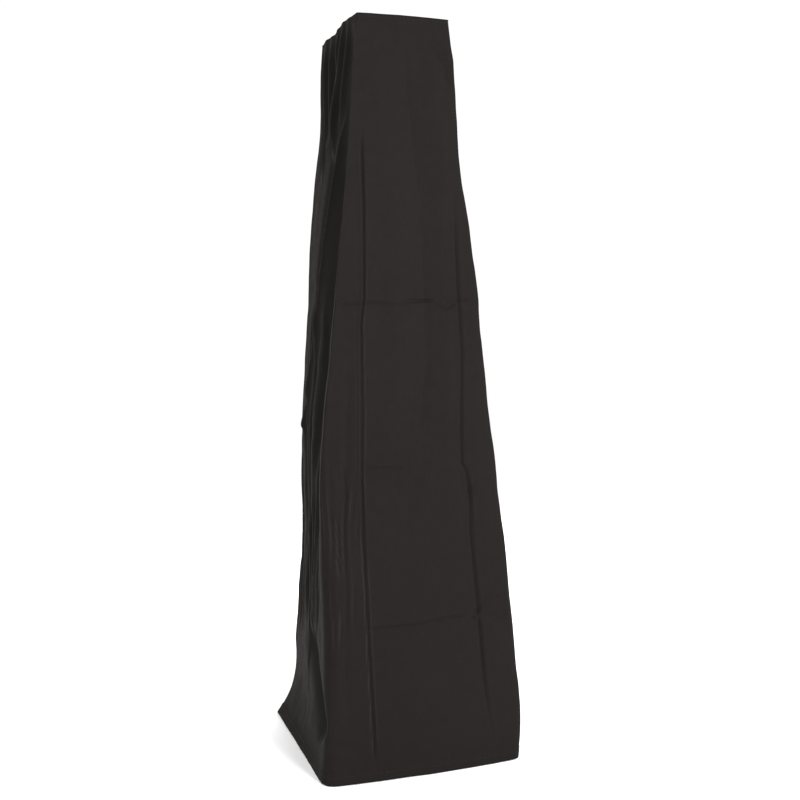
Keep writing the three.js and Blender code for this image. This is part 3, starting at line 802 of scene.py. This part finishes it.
# The ridge behind the gutter, as (height, place along Y).
SECOND_RIDGE = [
    (0.98, 0.120),
    (1.12, 0.072),
    (1.31, 0.020),
    (1.50, -0.028),
    (1.79, -0.078),
    (1.95, -0.105),
]
# Gathers under the left top edge: place along Y, size and how far down each runs.
GATHERS = [
    (-0.096, 0.008, 1.90),
    (-0.052, 0.009, 1.84),
    (-0.005, 0.011, 1.80),
    (0.052, 0.009, 1.88),
    (0.104, 0.008, 1.76),
]
GATHER_LEAN = 0.08
# The hollow above the left hem corner, as (place along Y, height).
WEDGE = [(0.00, 0.39), (-0.11, 0.28), (-0.262, 0.110)]
# The creases that a side's columns crowd round.
CROWDED = {"front": [FRONT_LEFT_CREASE, FRONT_RIGHT_CREASE]}
CRINKLE_PITCH = 0.021
PUCKER_PITCH = 0.047
BELLY_DEPTH = 0.012
BELLY_TOP = 0.40
BELLY_HALF = 0.30
WANDER = 0.004  # how far the unseen sides wander in and out


def line_distance(u, z, points):
    """Each point's distance from a line, and how far along the line its nearest place is."""
    best = np.full(u.shape, np.inf)
    reach = np.zeros(u.shape)
    done = 0.0
    for (u0, z0), (u1, z1) in zip(points, points[1:]):
        length = math.hypot(u1 - u0, z1 - z0)
        du, dz = (u1 - u0) / length, (z1 - z0) / length
        t = np.clip((u - u0) * du + (z - z0) * dz, 0, length)
        gap = np.hypot(u - u0 - t * du, z - z0 - t * dz)
        reach = np.where(gap < best, done + t, reach)
        best = np.minimum(best, gap)
        done += length
    return best, reach, done


def pressed(u, z, creases):
    """Valleys along pressed creases, each between two low shoulders."""
    out = np.zeros(u.shape)
    for points, depth, width, ends in creases:
        distance, reach, whole = line_distance(u, z, points)
        fade = smooth(reach, 0, ends) * (1 - smooth(reach, whole - ends, whole))
        valley = 0.65 * crease(distance, width) + 0.35 * hump(distance, 2.4 * width)
        shoulder = hump(distance - 3.4 * width, 1.5 * width)
        out += depth * fade * (0.3 * shoulder - valley)
    return out


def corner_crinkles(u, z):
    """Short crinkles beside the left corner and at the knots of the right crease."""
    sway = 0.010 * ripple(u, 0.5 * z, 0.07, 10)
    wave = np.sin(2 * math.pi * (u + sway) / CRINKLE_PITCH) * (0.4 + 0.6 * ripple(u, 0.4 * z, 0.04, 11))
    beside = window(u, -0.30, -0.165, 0.03) * window(z, 0.34, 0.98, 0.12)
    knots = hump(u - 0.175, 0.022) * (hump(z - 0.845, 0.05) + hump(z - 0.435, 0.05))
    return 0.0018 * wave * beside + 0.0024 * ripple(u, z, 0.014, 12) * knots


def front_folds(u, z):
    """How far the front's folds push it out: a belly above the hem, the creases and the crinkles."""
    across = np.cos(np.clip(u / BELLY_HALF, -1, 1) * math.pi / 2)
    belly = BELLY_DEPTH * window(z, -0.5, BELLY_TOP, 0.35) * across
    return belly + pressed(u, z, FRONT_CREASES) + corner_crinkles(u, z)


def held_by_seam(z):
    """The top seam holds the cloth straight, so folds fade towards it."""
    return 1 - 0.8 * smooth(z, COVER_TOP - 0.09, COVER_TOP - 0.005)


def gathers(u, z):
    """Upright folds under the left top edge, each with a hollow beside it."""
    out = np.zeros(u.shape)
    for place, size, low in GATHERS:
        middle = place - GATHER_LEAN * (COVER_TOP - z) * np.sign(place + 0.04)
        reach = window(z, low, 2.5, 0.12)
        out += size * reach * (hump(u - middle, 0.012) - 0.8 * hump(u - middle - 0.028, 0.013))
    return out * held_by_seam(z)


def puckers(u, z):
    """Short upright crinkles where the spare cloth hangs."""
    sway = 0.005 * np.sin(7 * z) + 0.020 * ripple(u, 0.5 * z, 0.11, 5)
    coarse = np.sin(2 * math.pi * (u + sway) / PUCKER_PITCH)
    fine = np.sin(2 * math.pi * (u + 0.9 * sway) / (0.57 * PUCKER_PITCH))
    patchy = 0.5 + 0.5 * ripple(u, 0.30 * z, 0.05, 6)
    there = window(z, 0.26, 1.45, 0.25) * window(u, -0.20, 0.32, 0.10)
    return there * patchy * (0.0075 * coarse + 0.0028 * fine)


def ridge_and_hollow(u, z):
    """The second long ridge of the left side and the hollow behind it."""
    beyond = u - along(SECOND_RIDGE, z)
    ridge = 0.014 * window(z, 0.90, 2.00, 0.15) * crease(beyond, 0.012)
    return ridge, 0.012 * window(z, 0.95, 1.95, 0.20) * hump(beyond - 0.050, 0.022)


def wedge_hollow(u, z):
    gap, reach, whole = line_distance(u, z, WEDGE)
    fade = smooth(reach, 0, 0.08) * (1 - smooth(reach, whole - 0.05, whole))
    return 0.027 * fade * hump(gap, 0.046)


def left_folds(u, z):
    """How far the left side's folds push it out; near the back post none may push it in."""
    out = -along(GUTTER_DEPTH, z) * held_by_seam(z) * hump(u - along(GUTTER, z), 0.046)
    ridge, hollow = ridge_and_hollow(u, z)
    out += ridge
    out -= hollow
    out -= wedge_hollow(u, z)
    out += gathers(u, z) + puckers(u, z)
    by_post = smooth(u, 0.09, 0.16) * window(z, 0.4, 1.6, 0.2)
    return out * (1 - by_post) + np.maximum(out, 0) * by_post


def right_folds(u, z):
    return pressed(u, z, RIGHT_CREASES) + WANDER * ripple(u, z, 0.16, 7) * window(z, 0.1, 2.1, 0.3)


def back_folds(u, z):
    return pressed(u, z, BACK_CREASES) + WANDER * ripple(u, z, 0.17, 8) * window(z, 0.1, 2.1, 0.3)


FOLDS = {"front": front_folds, "right": right_folds, "back": back_folds, "left": left_folds}


def outward(ring):
    """Level directions of length one that point out of each row of points."""
    tangent = np.roll(ring, -1, 1) - np.roll(ring, 1, 1)
    normal = np.stack([tangent[..., 1], -tangent[..., 0]], -1)
    return normal / np.linalg.norm(normal, axis=-1, keepdims=True)


def fold_depth(ring, normal, z):
    """How far the folds push each point out: each side's, fading as the cloth turns away from it."""
    push = np.zeros(z.shape)
    for side, face in FACES.items():
        share = smooth(normal @ np.array(face, float), 0.35, 0.80)
        u = ring[..., 0] if face[0] == 0 else ring[..., 1]
        push += share * FOLDS[side](u, z)
    around = np.arctan2(ring[..., 1], ring[..., 0]) * 0.25
    return push + 0.0011 * ripple(around, z, 0.045, 1) + 0.0016 * ripple(around, z, 0.13, 2)


def hem_relief(arc, z):
    """The hem's extra thickness, its stitched groove and the small puckers that the stitching pulls."""
    band = 0.0012 * (1 - smooth(z, HEM_HIGH - 0.002, HEM_HIGH + 0.002))
    groove = -0.0008 * hump(z - STITCH_Z, 0.0022)
    pucker = 0.0006 * np.sin(2 * math.pi * arc / 0.017 + 2 * ripple(arc, z, 0.06, 3))
    return band + groove + pucker * hump(z - STITCH_Z, 0.016)


def cover_grid():
    """The cover's four sides as a closed grid of points, and each point's place along its row."""
    rows = row_heights()
    ring, rises = outline(rows)
    z = np.repeat(rows[:, None], ring.shape[1], 1)
    normal = outward(ring)
    push = fold_depth(ring, normal, z)
    lengths = np.linalg.norm(np.roll(ring, -1, 1) - ring, axis=-1)
    arc = np.cumsum(lengths, 1) - lengths
    ring = ring + normal * (push + hem_relief(arc, z))[..., None]
    lift = 0.0012 * (1 + ripple(arc, 0 * arc, 0.09, 4)) * (1 - smooth(z, 0, 0.15))
    z = z + lift + rises[None, :] * smooth(z, 1.9, COVER_TOP)
    return np.concatenate([ring, z[..., None]], -1), arc


# ------------------------------------------------------------------ the cover's short simulation

SETTLE_ROWS = 110
SETTLE_COLUMNS = 150
SETTLE_FRAMES = 22
SETTLE_MOST = 0.009  # the farthest that a point may move
SETTLE_INWARD = 0.004  # the farthest that it may move towards the heater
SETTLE_HOLD = {"front": 0.80, "right": 0.40, "back": 0.40, "left": 0.48}
SETTLE_HEM_HOLD = 0.85
SETTLE_SOFTEN = (7, 3)  # how far the buckles are evened out, down and across, in points
SETTLE_CLOTH = {
    "quality": 5,
    "mass": 0.02,
    "tension_stiffness": 18,
    "compression_stiffness": 18,
    "shear_stiffness": 6,
    "bending_stiffness": 6,
    "air_damping": 2,
    "vertex_group_mass": "hold",
    "shrink_min": -0.035,  # the cloth has that much to spare
}


def held_points(points):
    """How firmly each point of the cloth is held: the top fully, the hem and the front well."""
    height = points[..., 2]
    side_hold = np.zeros(height.shape)
    shares = np.zeros(height.shape)
    normal = outward(points[..., :2])
    for side, face in FACES.items():
        share = np.clip(normal @ np.array(face, float), 0, 1) ** 2
        side_hold += share * SETTLE_HOLD[side]
        shares += share
    hem_hold = SETTLE_HEM_HOLD * (1 - smooth(height, 0.02, 0.22))
    return np.maximum.reduce([side_hold / shares, hem_hold, smooth(height, 2.02, 2.2)])


def ring_faces(rows, columns):
    """The four-sided faces of a closed grid, whose points run round one row after another."""
    faces = []
    for here in range(0, (rows - 1) * columns, columns):
        above = here + columns
        for c in range(columns):
            d = (c + 1) % columns
            faces.append((here + c, here + d, above + d, above + c))
    return faces


def simulated(points):
    """Where the points of a coarse copy come to rest in Blender's cloth simulation."""
    mesh = bpy.data.meshes.new("settling")
    mesh.from_pydata(points.reshape(-1, 3).tolist(), [], ring_faces(*points.shape[:2]))
    cloth = add_object("settling", mesh)
    group = cloth.vertex_groups.new(name="hold")
    for i, weight in enumerate(held_points(points).ravel()):
        group.add([i], float(weight), "REPLACE")
    modifier = cloth.modifiers.new("settling", "CLOTH")
    for setting, value in SETTLE_CLOTH.items():
        setattr(modifier.settings, setting, value)
    modifier.collision_settings.use_collision = False
    modifier.point_cache.frame_end = SETTLE_FRAMES
    for moment in range(1, SETTLE_FRAMES + 1):
        scene.frame_set(moment)
    result = cloth.evaluated_get(bpy.context.evaluated_depsgraph_get()).data
    rest = np.zeros(points.size, np.float32)
    result.vertices.foreach_get("co", rest)
    scene.frame_set(1)
    bpy.data.objects.remove(cloth)
    return rest.reshape(points.shape).astype(float)


def softened(field, reach, axis):
    """A field averaged over some neighbours along one axis, the nearer ones counting more."""
    offsets = np.arange(-reach, reach + 1)
    weights = hump(offsets, 0.55 * reach)
    wrap = {"mode": "wrap"} if axis == 1 else {"mode": "edge"}
    margin = [(reach, reach) if k == axis else (0, 0) for k in range(3)]
    padded = np.pad(field, margin, **wrap)
    count = field.shape[axis]
    total = sum(w * padded.take(range(k, k + count), axis) for k, w in enumerate(weights))
    return total / weights.sum()


def buckles(start):
    """How far each point of the coarse copy moves, evened out and kept within the limits."""
    move = simulated(start) - start
    for axis, reach in enumerate(SETTLE_SOFTEN):
        move = softened(move, reach, axis)
    normal = outward(start[..., :2])
    inward = np.minimum((move[..., :2] * normal).sum(-1) + SETTLE_INWARD, 0)
    move[..., :2] -= inward[..., None] * normal
    size = np.linalg.norm(move, axis=-1, keepdims=True) + 1e-9
    return move * (np.tanh(size / SETTLE_MOST) * SETTLE_MOST / size)


def settled(grid):
    """The designed cloth with its spare length buckled by a short cloth simulation."""
    rows, columns = grid.shape[:2]
    row_picks = np.linspace(0, rows - 1, SETTLE_ROWS).round().astype(int)
    column_picks = (np.arange(SETTLE_COLUMNS) * columns / SETTLE_COLUMNS).astype(int)
    move = buckles(grid[row_picks][:, column_picks])
    move = np.concatenate([move, move[:, :1]], 1)
    row_place = np.interp(np.arange(rows), row_picks, np.arange(SETTLE_ROWS))
    column_place = np.interp(np.arange(columns), [*column_picks, columns], np.arange(SETTLE_COLUMNS + 1))
    i = np.minimum(row_place.astype(int), SETTLE_ROWS - 2)
    j = np.minimum(column_place.astype(int), SETTLE_COLUMNS - 1)
    s = smooth(row_place - i, 0, 1)[:, None, None]
    t = smooth(column_place - j, 0, 1)[None, :, None]
    low = move[i][:, j] * (1 - t) + move[i][:, j + 1] * t
    high = move[i + 1][:, j] * (1 - t) + move[i + 1][:, j + 1] * t
    return grid + low * (1 - s) + high * s


# ------------------------------------------------------------------ the cover's mesh

CLOTH_THICKNESS = 0.0009
TOP_REST = COVER_TOP - 0.001  # where the cloth lies on the heater
# Each ring of the top, as its share of the top edge's size.
TOP_SHARES = (0.985, 0.96, 0.92, 0.87, 0.80, 0.70, 0.58, 0.45, 0.32, 0.20, 0.09)


def top_rings(edge):
    """Rings that close the top: from the seam in onto the heater's flat top."""
    rings = []
    centre = edge.mean(0)
    for share in TOP_SHARES:
        ring = centre + (edge - centre) * share
        flat = smooth(1 - share, 0.0, 0.2)
        rest = TOP_REST + 0.0012 * ripple(ring[:, 0], ring[:, 1], 0.05, 9)
        sag = -0.003 * hump(share - 0.93, 0.05)
        ring[:, 2] = edge[:, 2] * (1 - flat) + rest * flat + sag
        rings.append(ring)
    return rings, np.array([centre[0], centre[1], TOP_REST])


def fold_sharpness(points):
    """From -1 in a tight valley to 1 on a tight ridge, read from the mesh's own bending."""
    middle = (np.roll(points, 1, 1) + np.roll(points, -1, 1)) / 2
    across = ((points - middle)[..., :2] * outward(points[..., :2])).sum(-1)
    spacing = np.linalg.norm(np.roll(points, -1, 1) - np.roll(points, 1, 1), axis=-1) / 2
    return np.clip(across / (spacing * 0.35), -1, 1)


def add_weave_map(mesh, points, arc, sides):
    """A map in metres along the cloth, so that the weave has one size everywhere."""
    flat = points[:, :2].copy()
    flat[:sides, 0] = arc.ravel()
    flat[:sides, 1] = points[:sides, 2]
    corners = np.zeros(len(mesh.loops), int)
    mesh.loops.foreach_get("vertex_index", corners)
    layer = mesh.uv_layers.new(name="weave")
    layer.data.foreach_set("uv", flat[corners].astype(np.float32).ravel())


def make_cover(grid, arc):
    """The cover's cloth: its four sides, its closed top and its weave, with a thickness."""
    rows, columns = grid.shape[:2]
    rings, centre = top_rings(grid[-1])
    points = np.concatenate([grid.reshape(-1, 3), *rings, centre[None, :]])
    layers = rows + len(rings)
    faces = ring_faces(layers, columns)
    last = (layers - 1) * columns
    for c in range(columns):
        faces.append((last + c, last + (c + 1) % columns, len(points) - 1))
    mesh = bpy.data.meshes.new("cover_cloth")
    mesh.from_pydata(points.tolist(), [], faces)
    mesh.polygons.foreach_set("use_smooth", [True] * len(mesh.polygons))
    # This fold sharpness drives the cloth's painted ridge highlight and painted valley shade.
    sharp = np.zeros(len(points), np.float32)
    sharp[: rows * columns] = fold_sharpness(grid).ravel()
    fold = mesh.attributes.new("fold", "FLOAT", "POINT")
    fold.data.foreach_set("value", sharp)
    add_weave_map(mesh, points, arc, rows * columns)
    cover = add_object("cover_cloth", mesh)
    cover.data.materials.append(FINISHES["cover_cloth"])
    skin = cover.modifiers.new("thickness", "SOLIDIFY")
    skin.thickness = CLOTH_THICKNESS
    skin.offset = -1
    return cover


cover_side, cover_arc = cover_grid()
cover_side = settled(cover_side)
cover = make_cover(cover_side, cover_arc)
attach(cover, "cover")
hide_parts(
    "cover_front_panel",
    "cover_back_panel",
    "cover_left_panel",
    "cover_right_panel",
    "cover_top_panel",
    "cover_hem",
)

# ------------------------------------------------------------------ seams and stitches

STITCH_PITCH = 0.0046
STITCH_LENGTH = 0.0034
STITCH_RADIUS = 0.00042
STITCH_LIFT = 0.0002
TOP_STITCH_Z = COVER_TOP - 0.009
PIPING_RADIUS = 0.0012


def line_at(height):
    """The closed line round the cover's outer face at one height of its flat cloth."""
    row = int(np.argmin(np.abs(row_heights() - height)))
    line = cover_side[row].copy()
    line[:, :2] += outward(cover_side[row : row + 1, :, :2])[0] * STITCH_LIFT
    return line


def stitch_runs(line):
    """Short straight runs, one for each stitch, along a closed line."""
    loop = np.vstack([line, line[:1]])
    arc = np.concatenate([[0], np.cumsum(np.linalg.norm(np.diff(loop, axis=0), axis=1))])
    starts = np.arange(0, arc[-1] - STITCH_PITCH, STITCH_PITCH)
    places = starts[:, None] + np.array([0, 0.25, 0.75, 1]) * STITCH_LENGTH
    return np.stack([np.interp(places, arc, loop[:, i]) for i in range(3)], -1)


def make_seams():
    """The stitches of the hem and of the top, and the piped seam round the top."""
    thread = make_thread()
    taper = [share * STITCH_RADIUS for share in (0.35, 1, 1, 0.35)]
    edge = cover_side[-1]
    radii = [PIPING_RADIUS] * len(edge)
    seams = [
        tubes("hem_stitches", stitch_runs(line_at(STITCH_Z)), taper, 6, thread),
        tubes("top_stitches", stitch_runs(line_at(TOP_STITCH_Z)), taper, 6, thread),
        tubes("top_seam", [edge], radii, 10, FINISHES["cover_cloth"], closed=True),
    ]
    for seam in seams:
        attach(seam, "cover")
    return seams


make_seams()

# ------------------------------------------------------------------ studio

# Each lamp's place, size and power.
LAMPS = {
    "key": ((1.3, -4.0, 2.4), 1.4, 300),
    "side": ((-3.2, 0.6, 1.8), 1.4, 38),
    "back": ((1.5, 4.0, 2.6), 2.0, 120),
}
AIM = Vector((0, 0, 1.1))
FLOOR_HALF = 40
FLOOR_TONE = 0.96
SKY_STRENGTH = 1.04


def make_floor():
    mesh = bpy.data.meshes.new("floor")
    corners = [(FLOOR_HALF * x, FLOOR_HALF * y, 0) for x, y in CORNERS.values()]
    mesh.from_pydata(corners, [], [(0, 1, 2, 3)])
    floor = add_object("floor", mesh)
    pale = Finish("floor", (FLOOR_TONE, FLOOR_TONE, FLOOR_TONE), 0.8)
    pale.set("Specular IOR Level", 0.0)
    floor.data.materials.append(pale.material)


def make_light():
    world = bpy.data.worlds.new("studio")
    world.use_nodes = True
    backdrop = world.node_tree.nodes["Background"]
    backdrop.inputs["Color"].default_value = (1, 1, 1, 1)
    backdrop.inputs["Strength"].default_value = SKY_STRENGTH
    scene.world = world
    for name, (place, size, power) in LAMPS.items():
        data = bpy.data.lights.new(name, "AREA")
        data.size = size
        data.energy = power
        lamp = add_object(name, data)
        lamp.location = place
        lamp.rotation_euler = (AIM - Vector(place)).to_track_quat("-Z", "Y").to_euler()
    scene.view_settings.view_transform = "Standard"


make_floor()
make_light()
